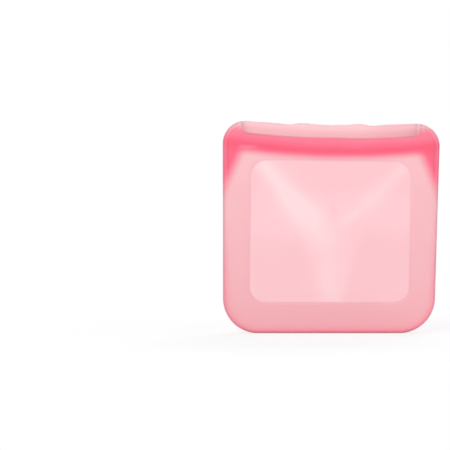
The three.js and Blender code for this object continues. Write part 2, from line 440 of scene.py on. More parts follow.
    def creases(self, x: Array, z: Array) -> Array:
        """Gives the soft folds that an empty silicone wall keeps, as millimetres outwards.

        Args:
            x: Distances from the middle of the bag.
            z: Heights.

        Returns:
            How far the wall stands out, or in where negative.
        """
        total = sum(fold.height * fold.strength(x, z) for fold in FOLDS)
        wander = self.wander * np.sin(x / self.wander_across + 1.1) * np.sin(z / self.wander_up + 0.4)
        return total + wander * smooth(self.half_top, 60.0, np.abs(x)) * smooth(0.0, 30.0, z)

    def inset(self, x: Array, z: Array) -> Array:
        """Gives the distance in from the outline's sides, bottom and corners.

        Args:
            x: Distances from the middle of the bag.
            z: Heights.

        Returns:
            Distances in millimetres. Between the top corners there is no outline, but a mouth.
        """
        side = self.half_width(z) - np.abs(x)
        bottom, top = self.bottom_corner, self.top_corner
        low = bottom - np.hypot(np.clip(bottom - side, 0.0, None), np.clip(bottom - z, 0.0, None))
        over = np.clip(z - self.arc_centre_z, 0.0, None)
        high = top - np.hypot(np.clip(top - side, 0.0, None), over)
        straight = np.minimum(side, z)
        inside = np.where((side < bottom) & (z < bottom), low, straight)
        return np.where((side < top) & (over > 0.0), high, inside)

    def wedge(self, x: Array, z: Array, softness: float = 3.0) -> Array:
        """Gives how far a point lies in a corner block's solid wedge, from 0 to 1.

        Args:
            x: Distances from the middle of the bag.
            z: Heights.
            softness: How far the border eases to either side.

        Returns:
            1 inside the wedge, easing to 0 across its border.
        """
        widest = self.half_top - self.closure_x
        reach = np.minimum(widest, self.wedge_reach - self.wedge_slope * (self.closure_shoulder + 1.0 - z))
        return smooth(softness, -softness, self.half_width(z) - np.abs(x) - reach)

    def window_distance(self, x: Array, z: Array) -> Array:
        """Gives the distance outside the window's edge.

        Args:
            x: Distances from the middle of the bag.
            z: Heights.

        Returns:
            Distances in millimetres, negative inside the window.
        """
        half, bottom, top = self.window
        radius = self.window_corner
        over_x = np.abs(x) - (half - radius)
        over_z = np.abs(z - (bottom + top) / 2) - ((top - bottom) / 2 - radius)
        outside = np.hypot(np.clip(over_x, 0.0, None), np.clip(over_z, 0.0, None))
        return outside + np.minimum(np.maximum(over_x, over_z), 0.0) - radius

    def collar(self, x: Array, z: Array, softness: float = 1.2) -> Array:
        """Gives how far a point lies at or above the collar's lower edge, from 0 to 1."""
        edge = self.sagging(x, self.collar_bottom, self.sag)
        return smooth(-softness, softness, z - edge)

    def above_collar(self, x: Array, z: Array) -> Array:
        """Gives how far a point lies above the collar's upper edge, from 0 to 1."""
        return smooth(-1.0, 1.0, z - self.sagging(x, self.collar_top, self.sag))

    def outer_depth(self, x: Array, z: Array) -> Array:
        """Gives the distance from the middle plane to the outer face, inside the rounded rim.

        Args:
            x: Distances from the middle of the bag.
            z: Heights.

        Returns:
            Depths in millimetres.
        """
        climb = np.clip(z / self.sagging(x, self.collar_bottom, self.sag), 0.0, 1.0)
        across = np.clip(1.0 - (x / self.half_width(z)) ** 2, 0.0, 1.0)
        swell = self.belly * across * np.sin(np.pi * climb)
        base = mix(self.edge_half_depth, self.collar_depth, climb) + swell
        band = self.collar(x, z) * (1.0 - self.above_collar(x, z))
        relief = self.band_relief * np.maximum(band, self.wedge_relief * self.wedge(x, z))
        bead = self.bead_depth * self.furrow(x, z)
        across_mouth = np.clip(1.0 - (x / self.closure_x) ** 2, 0.0, 1.0)
        splay = self.splay * smooth(self.collar_top, self.height, z) * across_mouth
        creases = self.creases(x, z) * (1.0 - self.collar(x, z, self.crease_fade))
        return base + relief - bead + creases + splay

    def line(self, distance: Array) -> Array:
        """Gives a soft line's strength at a distance from it: 1 on the line, easing to 0 beside it."""
        return np.exp(-((distance / self.line_half) ** 2))

    def furrow(self, x: Array, z: Array) -> Array:
        """Gives how far a point lies in the furrow beside a corner's rounded edge, from 0 to 1."""
        return self.line(self.inset(x, z) - self.bead) * self.furrow_growth.at(z) * self.wedge(x, z)

    def painted_shade(self, x: Array, z: Array) -> Array:
        """Gives how far a point lies on the lines of painted shade along the rim, the back lip's edge and
        the furrows; on the rim it is also the thick edge's deeper colour.

        Args:
            x: Distances from the middle of the bag.
            z: Heights.

        Returns:
            Shares from 0 to 1.
        """
        rim = self.line(self.inset(x, z) - self.rim_line)
        lip = self.line(self.lip_top(x, Side.BACK) - z - self.lip_line) * (np.abs(x) < self.closure_x)
        return np.maximum(rim, np.maximum(self.painted_furrow_shade * self.furrow(x, z), self.painted_lip_shade * lip))

    def bend(self, x: Array, z: Array) -> Array:
        """Gives how far a point follows its wall, from 0 at the side seams to 1 in the middle."""
        return smooth(1.0, 0.0, np.abs(x) / self.closure_edge(z)) * self.freeing.at(z)


# ------------------------------------------------------------------ loops and meshes


@dataclass(frozen=True)
class Counts:
    """How many steps a loop takes along each stretch of its right half."""

    bottom: int = 34
    low_corner: int = 20
    side: int = 34
    taper: int = 12
    upright: int = 8
    high_corner: int = 20
    turn: int = 12
    mouth: int = 22

    @property
    def half(self) -> int:
        """Steps from the bottom middle to the top middle."""
        sides = self.low_corner + self.side + self.taper + self.upright + self.high_corner
        return self.bottom + sides + self.turn + self.mouth

    @property
    def loop(self) -> int:
        """Points in a whole loop."""
        return 2 * self.half


COUNTS = Counts()

# Edges that turn by more than this stay crisp.
SHARP_FROM = math.radians(40.0)


@dataclass(frozen=True)
class Turn:
    """How a loop goes from its upper corner to its top line.

    The corner's arc runs up to end degrees. From there an eased turn goes to the top line, which it
    joins reach millimetres nearer the middle. Leave and arrive are how far, in millimetres, it keeps
    its first and last direction.
    """

    end: float = 90.0
    reach: float = 6.0
    leave: float = 2.0
    arrive: float = 2.0


LIP_TURNS = {
    Side.FRONT: Turn(end=77.5, reach=8.0, leave=0.6, arrive=9.2),
    Side.BACK: Turn(end=84.0, reach=10.0, leave=4.0, arrive=4.0),
}


@dataclass(frozen=True)
class Loop:
    """One closed line round a wall, given by its bottom, sides, corners and top line.

    Side gives the line's distance from the middle at a height, and top its height at a distance from
    the middle. Top_centre is the height of the upper corners' centres. Tail and shoulder are the
    heights at which the steps up the side change their length.
    """

    bottom: float
    bottom_corner: float
    side: Callable[[Array], Array]
    top: Callable[[Array], Array]
    top_corner: float
    top_centre: float
    tail: float
    shoulder: float
    turn: Turn = Turn()

    def right_half(self) -> Array:
        """Walks the loop's right half.

        Returns:
            Points in x and z, from the bottom middle round the right to the top middle.
        """
        low_z = self.bottom + self.bottom_corner
        low_x = float(self.side(np.array(low_z))) - self.bottom_corner
        high_x = float(self.side(np.array(self.top_centre))) - self.top_corner
        stretches = [
            self._line((0.0, self.bottom), (low_x, self.bottom), COUNTS.bottom),
            self._arc((low_x, low_z), self.bottom_corner, -90.0, 0.0, COUNTS.low_corner),
            self._rise(low_z, self.tail, COUNTS.side),
            self._rise(self.tail, self.shoulder, COUNTS.taper),
            self._rise(self.shoulder, self.top_centre, COUNTS.upright),
            self._arc((high_x, self.top_centre), self.top_corner, 0.0, self.turn.end, COUNTS.high_corner),
        ]
        angle = math.radians(self.turn.end)
        start = np.array([
            high_x + self.top_corner * math.cos(angle),
            self.top_centre + self.top_corner * math.sin(angle),
        ])
        join_x = start[0] - self.turn.reach
        stretches.append(self._ease(start, angle, join_x))
        x = np.linspace(join_x, 0.0, COUNTS.mouth + 1)
        stretches.append(np.stack([x, self.top(x)], axis=1))
        return np.concatenate(stretches)

    def points(self) -> Array:
        """Gives the whole loop, the right half and then its mirror image."""
        right = self.right_half()
        return np.concatenate([right, right[1:-1][::-1] * MIRROR])

    def _line(self, start: Sequence[float], end: Sequence[float], count: int) -> Array:
        """Gives count points from start towards end, without the end."""
        share = np.arange(count)[:, None] / count
        return mix(np.array(start)[None], np.array(end)[None], share)

    def _arc(self, centre: Sequence[float], radius: float, start: float, end: float, count: int) -> Array:
        """Gives count points on an arc from start to end degrees, without the end."""
        angle = np.radians(start + (end - start) * np.arange(count) / count)
        return np.stack([centre[0] + radius * np.cos(angle), centre[1] + radius * np.sin(angle)], axis=1)

    def _rise(self, low: float, high: float, count: int) -> Array:
        """Gives count points up the side from low towards high, without the end."""
        z = low + (high - low) * np.arange(count) / count
        return np.stack([self.side(z), z], axis=1)

    def _ease(self, start: Array, angle: float, join_x: float) -> Array:
        """Gives the eased turn from the corner's arc to the top line, without its end.

        Args:
            start: Where the arc ends, in x and z.
            angle: The angle in radians at which it ends.
            join_x: Where the turn joins the top line.

        Returns:
            The turn's points in x and z.
        """
        end = np.array([join_x, float(self.top(np.array(join_x)))])
        slope = float(self.top(np.array(join_x)) - self.top(np.array(join_x - 0.5))) / 0.5
        first = start + self.turn.leave * np.array([-math.sin(angle), math.cos(angle)])
        last = end + self.turn.arrive * np.array([1.0, slope]) / math.hypot(1.0, slope)
        done = (np.arange(COUNTS.turn) / COUNTS.turn)[:, None]
        left = 1.0 - done
        leaving = left**3 * start + 3 * done * left**2 * first
        arriving = 3 * done**2 * left * last + done**3 * end
        return leaving + arriving


def ring_faces(rows: int, columns: int, close: bool) -> list[tuple[int, int, int, int]]:
    """Joins rows of points, each a closed ring, with four-sided faces.

    Args:
        rows: How many rings there are.
        columns: Points in each ring.
        close: Whether the last ring joins the first.

    Returns:
        The faces as point numbers.
    """
    faces = []
    for row in range(rows if close else rows - 1):
        here = row * columns
        there = ((row + 1) % rows) * columns
        for column in range(columns):
            following = (column + 1) % columns
            faces.append((here + column, here + following, there + following, there + column))
    return faces


def make_piece(
    name: str, plan: BagPlan, points: Array, faces: Sequence[Sequence[int]], tones: Array
) -> bpy.types.Object:
    """Makes a smooth mesh object from points of the upright bag in millimetres.

    Args:
        name: The piece's name.
        plan: The bag's sizes.
        points: The piece's points, one row each.
        faces: Its faces as point numbers.
        tones: How deep the silicone's colour is at each point, from 0 to 1, painted light included.

    Returns:
        The object, linked to the scene.
    """
    mesh = bpy.data.meshes.new(name)
    mesh.from_pydata((plan.settle(points) * MM).tolist(), [], [list(face) for face in faces])
    work = bmesh.new()
    work.from_mesh(mesh)
    bmesh.ops.recalc_face_normals(work, faces=work.faces)
    for face in work.faces:
        face.smooth = True
    work.to_mesh(mesh)
    work.free()
    mesh.set_sharp_from_angle(angle=SHARP_FROM)
    # Painted shade: darker lines along the rim, the furrows and the back lip's edge.
    painted_shade = plan.painted_shade(points[:, 0], points[:, 2])
    for label, values in (("tone", tones), ("painted_shade", painted_shade)):
        attribute = mesh.attributes.new(label, "FLOAT", "POINT")
        attribute.data.foreach_set("value", np.clip(values, 0.0, 1.0).astype(np.float32))
    piece = bpy.data.objects.new(name, mesh)
    bpy.context.scene.collection.objects.link(piece)
    return piece


# ------------------------------------------------------------------ finishes


@dataclass(frozen=True)
class SiliconeFinish:
    """Frosted silicone whose colour deepens with the thickness that light has to cross, plus painted
    highlights and shade.

    Reach and depth are in metres, and the scales count a texture's features in a metre.
    """

    name: str
    roughness: float = 0.40
    smoother: float = 0.05
    rougher: float = 0.07
    refraction: float = 1.41
    scatter: float = 0.15
    scatter_reach: float = 0.0012
    haze: float = 0.04
    haze_roughness: float = 0.6
    cloud_scale: float = 26.0
    cloud_strength: float = 0.07
    grain_scale: float = 900.0
    grain_strength: float = 0.12
    grain_depth: float = 0.00015
    smear_scale: float = 18.0

    # How far red, green and blue light spread inside, as shares of the reach.
    SCATTER_SHARES = (1.0, 0.42, 0.46)
    # Position on the tone scale, and the display colour there.
    STOPS = (
        (0.00, (250, 213, 216)),
        (0.14, (246, 196, 202)),
        (0.30, (238, 180, 186)),
        (0.46, (238, 163, 172)),
        (0.68, (244, 138, 157)),
        (0.85, (245, 112, 139)),
        (1.00, (241, 91, 119)),
    )
    # What the colour is multiplied by on the lines of painted shade.
    PAINTED_SHADE_TINT = (0.84, 0.90, 0.93, 1.0)

    def material(self) -> bpy.types.Material:
        """Builds the node material.

        Returns:
            The finished material.
        """
        material = bpy.data.materials.new(self.name)
        material.use_nodes = True
        tree = material.node_tree
        place = add_node(tree, "TexCoord").outputs["Object"]
        silicone = {
            "Metallic": 0.0,
            "IOR": self.refraction,
            "Subsurface Weight": self.scatter,
            "Subsurface Radius": self.SCATTER_SHARES,
            "Subsurface Scale": self.scatter_reach,
            "Sheen Weight": self.haze,
            "Sheen Roughness": self.haze_roughness,
            "Base Color": self._colour(tree, place),
            "Normal": self._grain(tree, place),
            "Roughness": self._gloss(tree, place),
        }
        feed(tree, tree.nodes["Principled BSDF"], silicone)
        return material

    def _colour(self, tree: bpy.types.NodeTree, place: bpy.types.NodeSocket) -> bpy.types.NodeSocket:
        """Drives the colour by the tone and shade attributes, with a faint cloudiness.

        Args:
            tree: The material's node tree.
            place: The output that gives each point's place on the piece.

        Returns:
            The output that gives the colour.
        """
        tone = add_node(tree, "Attribute", attribute_name="tone")
        cloud = add_node(tree, "TexNoise", {"Vector": place, "Scale": self.cloud_scale, "Detail": 3.0})
        around_zero = {0: cloud.outputs["Fac"], 1: self.cloud_strength, 2: -self.cloud_strength / 2}
        shift = add_node(tree, "Math", around_zero, operation="MULTIPLY_ADD")
        total = add_node(tree, "Math", {0: tone.outputs["Fac"], 1: shift.outputs[0]}, operation="ADD")
        ramp = add_node(tree, "ValToRGB", {"Fac": total.outputs[0]})
        stops = ramp.color_ramp.elements
        for number, (position, colour) in enumerate(self.STOPS):
            # A new ramp already has two stops.
            stop = stops[number] if number < 2 else stops.new(position)
            stop.position = position
            stop.color = linear(*colour)
        # Painted shade: the colour is darkened along the rim, the furrows and the back lip's edge.
        painted_shade = add_node(tree, "Attribute", attribute_name="painted_shade")
        shading = {"Factor": painted_shade.outputs["Fac"], "A": ramp.outputs["Color"], "B": self.PAINTED_SHADE_TINT}
        edge = add_node(tree, "Mix", shading, data_type="RGBA", blend_type="MULTIPLY")
        return edge.outputs["Result"]

    def _grain(self, tree: bpy.types.NodeTree, place: bpy.types.NodeSocket) -> bpy.types.NodeSocket:
        """Roughens the face with the matt grain of the mould.

        Args:
            tree: The material's node tree.
            place: The output that gives each point's place on the piece.

        Returns:
            The output that gives the face's direction.
        """
        grain = add_node(tree, "TexNoise", {"Vector": place, "Scale": self.grain_scale, "Detail": 2.0})
        relief = {
            "Height": grain.outputs["Fac"],
            "Strength": self.grain_strength,
            "Distance": self.grain_depth,
        }
        return add_node(tree, "Bump", relief).outputs["Normal"]

    def _gloss(self, tree: bpy.types.NodeTree, place: bpy.types.NodeSocket) -> bpy.types.NodeSocket:
        """Makes the gloss slightly uneven over the face.

        Args:
            tree: The material's node tree.
            place: The output that gives each point's place on the piece.

        Returns:
            The output that gives the roughness.
        """
        smear = add_node(tree, "TexNoise", {"Vector": place, "Scale": self.smear_scale, "Detail": 2.0})
        spread = {
            "Value": smear.outputs["Fac"],
            "To Min": self.roughness - self.smoother,
            "To Max": self.roughness + self.rougher,
        }
        return add_node(tree, "MapRange", spread).outputs["Result"]


@dataclass(frozen=True)
class FloorFinish:
    """Matt white that turns to plain white light away from the bag.

    The turn runs from fade_start to fade_end, in metres from the bag's middle, and it starts from a
    share of fade_least.
    """

    name: str = "floor_white"
    brightness: float = 0.96
    roughness: float = 0.9
    fade_start: float = 0.08
    fade_end: float = 0.34
    fade_least: float = 0.7

    def material(self) -> bpy.types.Material:
        """Builds the node material.

        Returns:
            The finished material.
        """
        material = bpy.data.materials.new(self.name)
        material.use_nodes = True
        tree = material.node_tree
        matt = tree.nodes["Principled BSDF"]
        white = (self.brightness,) * 3 + (1.0,)
        feed(tree, matt, {"Base Color": white, "Roughness": self.roughness, "Specular IOR Level": 0.0})
        glow = add_node(tree, "Emission", {"Strength": 1.0})
        place = add_node(tree, "NewGeometry").outputs["Position"]
        away = add_node(tree, "VectorMath", {0: place}, operation="LENGTH")
        fading = {
            "Value": away.outputs["Value"],
            "From Min": self.fade_start,
            "From Max": self.fade_end,
            "To Min": self.fade_least,
        }
        fade = add_node(tree, "MapRange", fading, interpolation_type="SMOOTHSTEP")
        both = {0: fade.outputs["Result"], 1: seen(tree)}
        share = add_node(tree, "Math", both, operation="MULTIPLY")
        looks = {"Fac": share.outputs[0], 1: matt.outputs[0], 2: glow.outputs[0]}
        blend = add_node(tree, "MixShader", looks)
        feed(tree, tree.nodes["Material Output"], {"Surface": blend.outputs[0]})
        return material


# ------------------------------------------------------------------ the pieces


def dress(piece: bpy.types.Object, material: bpy.types.Material, nodes: Sequence[str]) -> None:
    """Gives a piece its material and hides the frame nodes that it stands for.

    Args:
        piece: The piece.
        material: What it is made of.
        nodes: The frame nodes that it stands for.
    """
    piece.data.materials.append(material)
    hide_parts(*nodes)


def follow_wall(piece: bpy.types.Object, plan: BagPlan) -> None:
    """Bakes a piece's placement into its mesh and works out, without applying, how far it follows its
    wall.

    A silicone wall is held at both sides, so the weight rises from both side seams to the middle.

    Args:
        piece: The piece, in its final shape.
        plan: The bag's sizes.
    """
    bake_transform(piece)
    count = len(piece.data.vertices)
    places = np.empty(count * 3, np.float32)
    piece.data.vertices.foreach_get("co", places)
    x, _, z = places.reshape(-1, 3).T / MM
    weights = plan.bend(x.astype(float), z.astype(float)).astype(np.float32)


@dataclass(frozen=True)
class ColourDepth:
    """How deep the silicone's colour is: 0 where it is thin and pale, 1 where it is thickest, with painted
    highlights and shade.

    Distances and heights are in millimetres, from the middle and the bottom of the upright bag.
    """

    plan: BagPlan
    # The base tones, and how each changes with the height.
    border: float = 0.28
    border_fades: tuple[Fade, ...] = (
        Fade(0.03, 100.0, 50.0),
        Fade(0.05, 50.0, 8.0),
        Fade(-0.04, 120.0, 148.0),
    )
    pane: float = 0.125
    pane_fades: tuple[Fade, ...] = (Fade(0.05, 110.0, 134.0), Fade(-0.03, 70.0, 35.0))
    pane_edge: Fade = Fade(1.0, 0.2, -1.1)
    rim: float = 0.13
    # Painted shade: the rim's deeper colour grows towards the bottom.
    rim_painted_shade_below: Fade = Fade(0.21, 125.0, 12.0)
    rim_width: float = 2.4
    rim_wider: Fade = Fade(1.8, 120.0, 50.0)
    # The collar and the corners, and how each changes with the height above the collar's lower edge.
    collar: float = 1.0
    collar_upper: Fade = Fade(-0.21, 4.0, 13.0)
    collar_growth: Fade = Fade(1.0, -6.2, 3.8)
    corner: float = 0.95
    corner_upper: Fade = Fade(-0.14, 4.0, 13.0)
    corner_softness: float = 6.5
    # How much paler a corner is: at its top, as a painted highlight in from its rim, and beside the lips.
    corner_top: Fade = Fade(0.38, 174.5, 184.0)
    corner_rim_highlight: Fade = Fade(0.13, 4.5, 0.5)
    lip_side: Fade = Fade(0.20, 5.0, 0.5)
    lip_side_growth: Fade = Fade(1.0, 175.5, 180.0)
    # The back lip where it stands alone: its changes above the front lip's edge and to the right.
    lip: float = 0.03
    lip_fades: tuple[Fade, ...] = (Fade(0.13, 0.0, 4.5), Fade(-0.08, 4.0, 9.0))
    lip_right: Fade = Fade(0.09, 15.0, 60.0)
    lip_growth: Fade = Fade(1.0, -0.8, 0.8)
    lip_ends: Fade = Fade(1.0, 4.0, 1.5)
    # The painted highlight at the collar's left end: its height above the lower edge, half width and ends.
    painted_glint: float = 0.22
    glint_height: float = 7.0
    glint_half: float = 1.2
    glint_left: Fade = Fade(1.0, -83.0, -79.0)
    glint_right: Fade = Fade(1.0, -63.0, -69.0)

    def wall(self, x: Array, z: Array, side: Side) -> Array:
        """Gives the depth of a wall's border, window, collar, corners and lip.

        Args:
            x: Distances from the middle of the bag.
            z: Heights.
            side: Which wall.

        Returns:
            Tones from 0, pale, to 1, deep.
        """
        plan = self.plan
        border = self.border + sum(fade.at(z) for fade in self.border_fades)
        tone = mix(border, self._pane(x, z), self.pane_edge.at(plan.window_distance(x, z)))
        tone = tone + self._rim(x, z)
        above = z - plan.sagging(x, plan.collar_bottom, plan.sag)
        corner = self.corner + self.corner_upper.at(above)
        collar = self.collar + self.collar_upper.at(above)
        tone = mix(tone, corner, plan.wedge(x, z, self.corner_softness))
        # The collar's depth fades softly into the wall below it.
        tone = mix(tone, collar, self.collar_growth.at(above))
        if side is Side.BACK:
            height = z - plan.lip_top(x, Side.FRONT)
            lip = self.lip + sum(fade.at(height) for fade in self.lip_fades) + self.lip_right.at(x)
            beyond_front = self.lip_growth.at(height) * self.lip_ends.at(np.abs(x) - plan.closure_x)
            tone = mix(tone, lip, beyond_front)
        else:
            # Painted highlight: a pale line at the collar's left end.
            tone = tone - self.painted_glint * self._painted_glint(x, z)
        return tone - self._corner_thinning_and_highlight(x, z) * plan.wedge(x, z)

    def _pane(self, x: Array, z: Array) -> Array:
        """Gives the window's pale tone, with painted highlights and shade along the folds and painted
        shade low on its facets.

        Args:
            x: Distances from the middle of the bag.
            z: Heights.

        Returns:
            Tones from 0 to 1.
        """
        tone = self.pane + sum(fade.at(z) for fade in self.pane_fades)
        # Painted shade on the facets: the panel is a little deeper low on both sides of the middle ridge,
        # past two slanting lines.
        shaded_low_left = smooth(6.0, -6.0, x + 27.0 - 0.42 * (85.0 - z)) * smooth(6.0, -5.0, z - 85.0)
        shaded_low_right = smooth(-4.0, 8.0, x - 27.0 + 0.28 * (90.0 - z)) * smooth(96.0, 78.0, z)
        tone = tone + 0.025 * shaded_low_left + 0.05 * shaded_low_right
        # Painted highlights along the folds' ridges, painted shade in the furrow.
        return tone - sum(fold.painted_light * fold.strength(x, z) for fold in FOLDS)

    def _rim(self, x: Array, z: Array) -> Array:
        """Gives how much deeper the colour gets towards the thick, turned edge, with painted shade growing
        towards the bottom.

        Args:
            x: Distances from the middle of the bag.
            z: Heights.

        Returns:
            What to add to a tone, most at the bottom.
        """
        strength = self.rim + self.rim_painted_shade_below.at(z)
        width = self.rim_width + self.rim_wider.at(z)
        return strength * np.exp(-(np.clip(self.plan.inset(x, z), 0.0, None) / width) ** 1.5)

    def _painted_glint(self, x: Array, z: Array) -> Array:
        """Gives the painted highlight, a pale line at the collar's left end."""
        line = np.exp(-(((z - self.plan.collar_bottom - self.glint_height) / self.glint_half) ** 2))
        return line * self.glint_left.at(x) * self.glint_right.at(x)

    def _corner_thinning_and_highlight(self, x: Array, z: Array) -> Array:
        """Gives how much paler a corner is at its top and beside the lips, and its painted highlight along
        its rim.
        """
        beside_lip = self.lip_side.at(np.abs(x) - self.plan.closure_x) * self.lip_side_growth.at(z)
        return self.corner_top.at(z) + self.corner_rim_highlight.at(self.plan.inset(x, z)) + beside_lip


@dataclass(frozen=True)
class RimSection:
    """How a shell's edge is rounded, where it meets its partner and where it is a free lip.

    Sizes are in millimetres and bends in degrees from the bag's middle plane.
    """

    radius: float = 4.0
    wall: float = 2.0
    bond_half: float = 0.7
    core_half: float = 1.6
    lip_half: float = 0.7

    OUTER_BENDS = (75.0, 60.0, 45.0, 30.0, 15.0, 0.0)
    FACE_BENDS = (-12.0, -24.0, -36.0)
    INNER_BENDS = (0.0, 30.0, 60.0, 90.0)
    INNER_LIP_BENDS = (-48.0, -62.0, -76.0, -90.0)

    def rows(self, depth: Array, bond: Array, lip: Array) -> list[tuple[Array, Array]]:
        """Gives the section's rows from the outer face round the edge to the inner face.

        Args:
            depth: The wall's outer depth at each point of the loop.
            bond: The depth at which the edge meets its partner, at each point.
            lip: How far each point is a free lip, from 0 to 1.

        Returns:
            For each row, the distance in from the outline and the depth, at each point.
        """
        flat = np.maximum(depth - self.radius, bond + 0.2)
        middle = depth - self.lip_half
        edge_rows = [
            (self.radius * (1.0 - math.cos(bend)), flat + (depth - flat) * math.sin(bend))
            for bend in map(math.radians, self.OUTER_BENDS)
        ]
        edge_rows += [(0.0, mix(flat, bond, 0.5)), (0.0, bond), (self.wall, bond)]
        inner = self.radius - self.wall
        edge_rows += [
            (self.radius - inner * math.cos(bend), flat + (depth - self.wall - flat) * math.sin(bend))
            for bend in map(math.radians, self.INNER_BENDS)
        ]
        lip_bends = self.OUTER_BENDS + self.FACE_BENDS + self.INNER_LIP_BENDS
        lip_rows = [
            (self.lip_half * (1.0 - math.cos(bend)), middle + self.lip_half * math.sin(bend))
            for bend in map(math.radians, lip_bends)
        ]
        return [
            (mix(edge_in, lip_in, lip), mix(edge_y, lip_y, lip))
            for (edge_in, edge_y), (lip_in, lip_y) in zip(edge_rows, lip_rows)
        ]


@dataclass(frozen=True)
class WallShell:
    """One half of the bag: edge, border, collar skin and lip in one closed skin."""

    plan: BagPlan
    side: Side
    rim: RimSection = RimSection()
    # The slope down to the window, and how far in from the outline the inner face thickens.
    slope_width: float = 2.2
    rim_reach: float = 9.0
    # How the inner face eases onto a corner block: its fillet, how far the fillet ends past the
    # block's inner edge, and over what height this grows above the tail, inside and at the bond.
    fillet: float = 3.0
    block_overlap: float = 0.4
    tail_fade: float = 6.0
    bond_fade: float = 8.0
    # How far below the window's upper corners the steps up its sides change their length.
    window_tail: float = 26.0
    window_shoulder: float = 10.0

    def build(self, material: bpy.types.Material) -> bpy.types.Object:
        """Makes the shell.

        Args:
            material: The silicone.

        Returns:
            The finished piece.
        """
        points, tones, rows = self._surface()
        faces = ring_faces(rows, COUNTS.loop, close=True)
        piece = make_piece(f"{self.side.word}_shell", self.plan, points, faces, tones)
        word = self.side.word
        dress(piece, material, (f"{word}_edge", f"{word}_border", f"{word}_lip"))
        follow_wall(piece, self.plan)
        return piece

    def _surface(self) -> tuple[Array, Array, int]:
        """Lays the shell out in rows, from the window's edge out over the rim and back inside.

        Returns:
            The points and their tones, row by row, and the number of rows.
        """
        outline, rim_end = self._outline(0.0), self._outline(self.rim.radius)
        planes = self._planes(rim_end)
        lip = self._lip_share(outline)
        rows = []
        for plane in reversed(planes):
            rows.append((plane, self._outer(plane)))
        inward = rim_end - outline
        inward = inward / np.linalg.norm(inward, axis=1, keepdims=True)
        bond = mix(
            self.rim.bond_half,
            self.rim.core_half,
            smooth(self.plan.closure_tail, self.plan.closure_tail + self.bond_fade, outline[:, 1]),
        )
        depth = self._outer(rim_end)
        for inset, y in self.rim.rows(depth, bond, lip):
            rows.append((outline + inward * np.broadcast_to(inset, lip.shape)[:, None], y))
        for plane in planes[1:]:
            rows.append((plane, self._inner(plane, lip)))
        points = np.concatenate(
            [np.stack([plane[:, 0], self.side.value * y, plane[:, 1]], axis=1) for plane, y in rows]
        )
        tones = ColourDepth(self.plan).wall(points[:, 0], points[:, 2], self.side)
        return points, tones, len(rows)

    def _outline(self, inset: float) -> Array:
        """Gives the outline, inset all round; along the lip it is inset by the lip's rounding.

        Args:
            inset: How far in from the edge, up to a few millimetres.

        Returns:
            The loop's points in x and z.
        """
        plan = self.plan
        drop = inset * self.rim.lip_half / self.rim.radius
        return Loop(
            bottom=inset,
            bottom_corner=plan.bottom_corner - inset,
            side=lambda z: plan.half_width(z) - inset,
            top=lambda x: plan.lip_top(x, self.side) - drop,
            top_corner=plan.top_corner - inset,
            top_centre=plan.arc_centre_z,
            tail=plan.closure_tail,
            shoulder=plan.closure_shoulder,
            turn=LIP_TURNS[self.side],
        ).points()

    def _lip_share(self, outline: Array) -> Array:
        """Gives, for each point of the outline, how far it lies on the free lip."""
        between = smooth(self.plan.closure_x + 1.0, self.plan.closure_x - 1.2, np.abs(outline[:, 0]))
        return between * (outline[:, 1] > self.plan.arc_centre_z)

    def _planes(self, rim_end: Array) -> list[Array]:
        """Gives the loops from the rounded rim in to the window's edge.

        Args:
            rim_end: The loop where the rounded rim ends.

        Returns:
            The loops in order, each with its points in x and z.
        """
        plan = self.plan
        half, bottom, top = plan.window
        past_lip = 6 if self.side is Side.FRONT else 16
        # Each line has a loop, and the steps that lead to it from the loop before.
        keys = [
            (rim_end, 0),
            (self._outline(6.0), 5),
            (self._band_loop(9.0, 13.0, 5.0, plan.collar_top + 1.6, 62.0), past_lip),
            (self._band_loop(10.5, 15.8, 2.0, plan.collar_top + 0.6), 2),
            (self._band_loop(12.0, 17.2, 1.6, plan.collar_top - 0.8), 2),
            (self._band_loop(13.5, 17.8, 1.6, plan.collar_bottom + 0.9), 5),
            (self._band_loop(15.0, 18.6, 2.0, plan.collar_bottom - 0.9), 3),
            (self._band_loop(17.0, 20.6, 5.0, plan.collar_bottom - 2.6), 2),
            (self.window_loop(half + 2.4, bottom - 2.4, top + 2.0, plan.window_corner + 2.4), 3),
            (self.window_loop(half, bottom, top, plan.window_corner), 6),
        ]
        planes = [rim_end]
        for (before, _), (after, count) in zip(keys, keys[1:]):
            planes += [mix(before, after, step / count) for step in range(1, count + 1)]
        return planes

    def _band_loop(self, low: float, high: float, corner: float, top: float, end: float = 90.0) -> Array:
        """Gives a loop that follows the outline below and the collar above.

        Args:
            low: How far in from the outline it lies below the corner blocks.
            high: How far in it lies beside the mouth.
            corner: Its upper corners' radius.
            top: Height of its top line in the middle.
            end: The angle in degrees at which its corner arcs end.

        Returns:
            The loop's points in x and z.
        """
        plan = self.plan
        beside_mouth = plan.half_top - high
        return Loop(
            bottom=low,
            bottom_corner=plan.bottom_corner - low,
            side=lambda z: mix(plan.half_width(z) - low, beside_mouth, plan.closure_climb(z)),
            top=lambda x: plan.sagging(x, top, plan.sag),
            top_corner=corner,
            top_centre=plan.sagging(beside_mouth, top, plan.sag) - corner,
            tail=plan.closure_tail,
            shoulder=plan.closure_shoulder,
            turn=Turn(end=end),
        ).points()

    def window_loop(self, half: float, bottom: float, top: float, corner: float) -> Array:
        """Gives a rounded rectangle about the window.

        Args:
            half: Half its width.
            bottom: Height of its lower edge.
            top: Height of its upper edge.
            corner: The radius of its corners.

        Returns:
            The loop's points in x and z.
        """
        centre = top - corner
        return Loop(
            bottom=bottom,
            bottom_corner=corner,
            side=lambda z: np.full(np.shape(z), half),
            top=lambda x: np.full(np.shape(x), top),
            top_corner=corner,
            top_centre=centre,
            tail=centre - self.window_tail,
            shoulder=centre - self.window_shoulder,
        ).points()

    def _outer(self, plane: Array) -> Array:
        """Gives the outer face's depth, with a short slope down to the window."""
        slope = smooth(self.slope_width, 0.0, self.plan.window_distance(*plane.T))
        return self.plan.outer_depth(*plane.T) - self.plan.window_recess * slope

